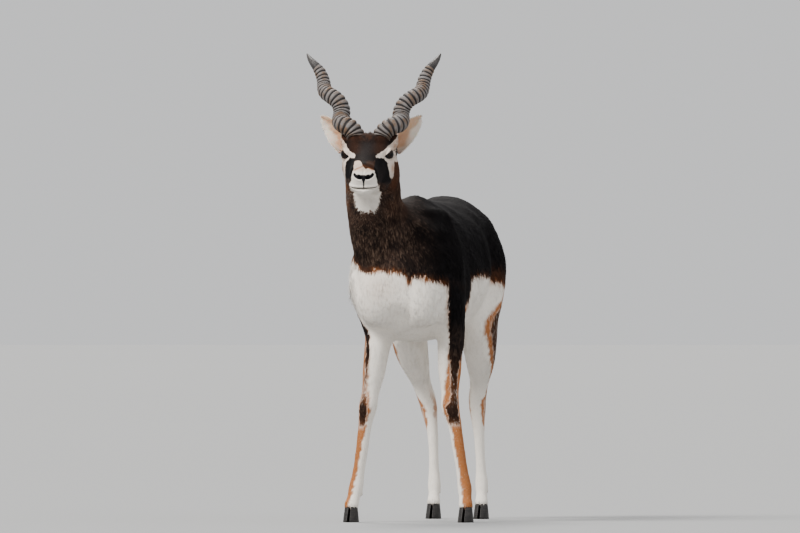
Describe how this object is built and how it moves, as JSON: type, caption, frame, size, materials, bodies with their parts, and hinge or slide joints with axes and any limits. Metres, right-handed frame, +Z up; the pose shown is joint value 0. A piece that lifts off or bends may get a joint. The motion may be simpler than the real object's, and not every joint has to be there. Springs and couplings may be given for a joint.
{
  "type": "blackbuck",
  "caption": "Life-size still model of an adult male blackbuck antelope standing with raised head, corkscrew ringed horns and cloven hooves.",
  "frame": {"origin": "middle of the bounding box in plan, on the ground plane under the hooves", "axes": "+Z up, the animal faces -Y, its left side is +X"},
  "size_m": [0.4106, 1.0012, 1.1245],
  "materials": {
    "dark_coat": "short black-brown hair",
    "pale_coat": "short white hair",
    "ear_skin": "thin haired skin",
    "horn": "ringed keratin",
    "hoof": "black keratin",
    "eye": "wet dark brown glass eye"
  },
  "bodies": {
    "root": {"head": "dark_coat", "neck": "dark_coat", "torso": "dark_coat", "tail": "dark_coat", "forearm_left": "pale_coat", "fore_cannon_left": "pale_coat", "thigh_left": "pale_coat", "hind_cannon_left": "pale_coat", "ear_left": "ear_skin", "horn_left": "horn", "eye_left": "eye", "hoof_fore_left_inner": "hoof", "hoof_fore_left_outer": "hoof", "hoof_hind_left_inner": "hoof", "hoof_hind_left_outer": "hoof", "forearm_right": "pale_coat", "fore_cannon_right": "pale_coat", "thigh_right": "pale_coat", "hind_cannon_right": "pale_coat", "ear_right": "ear_skin", "horn_right": "horn", "eye_right": "eye", "hoof_fore_right_inner": "hoof", "hoof_fore_right_outer": "hoof", "hoof_hind_right_inner": "hoof", "hoof_hind_right_outer": "hoof"}
  },
  "joints": []
}
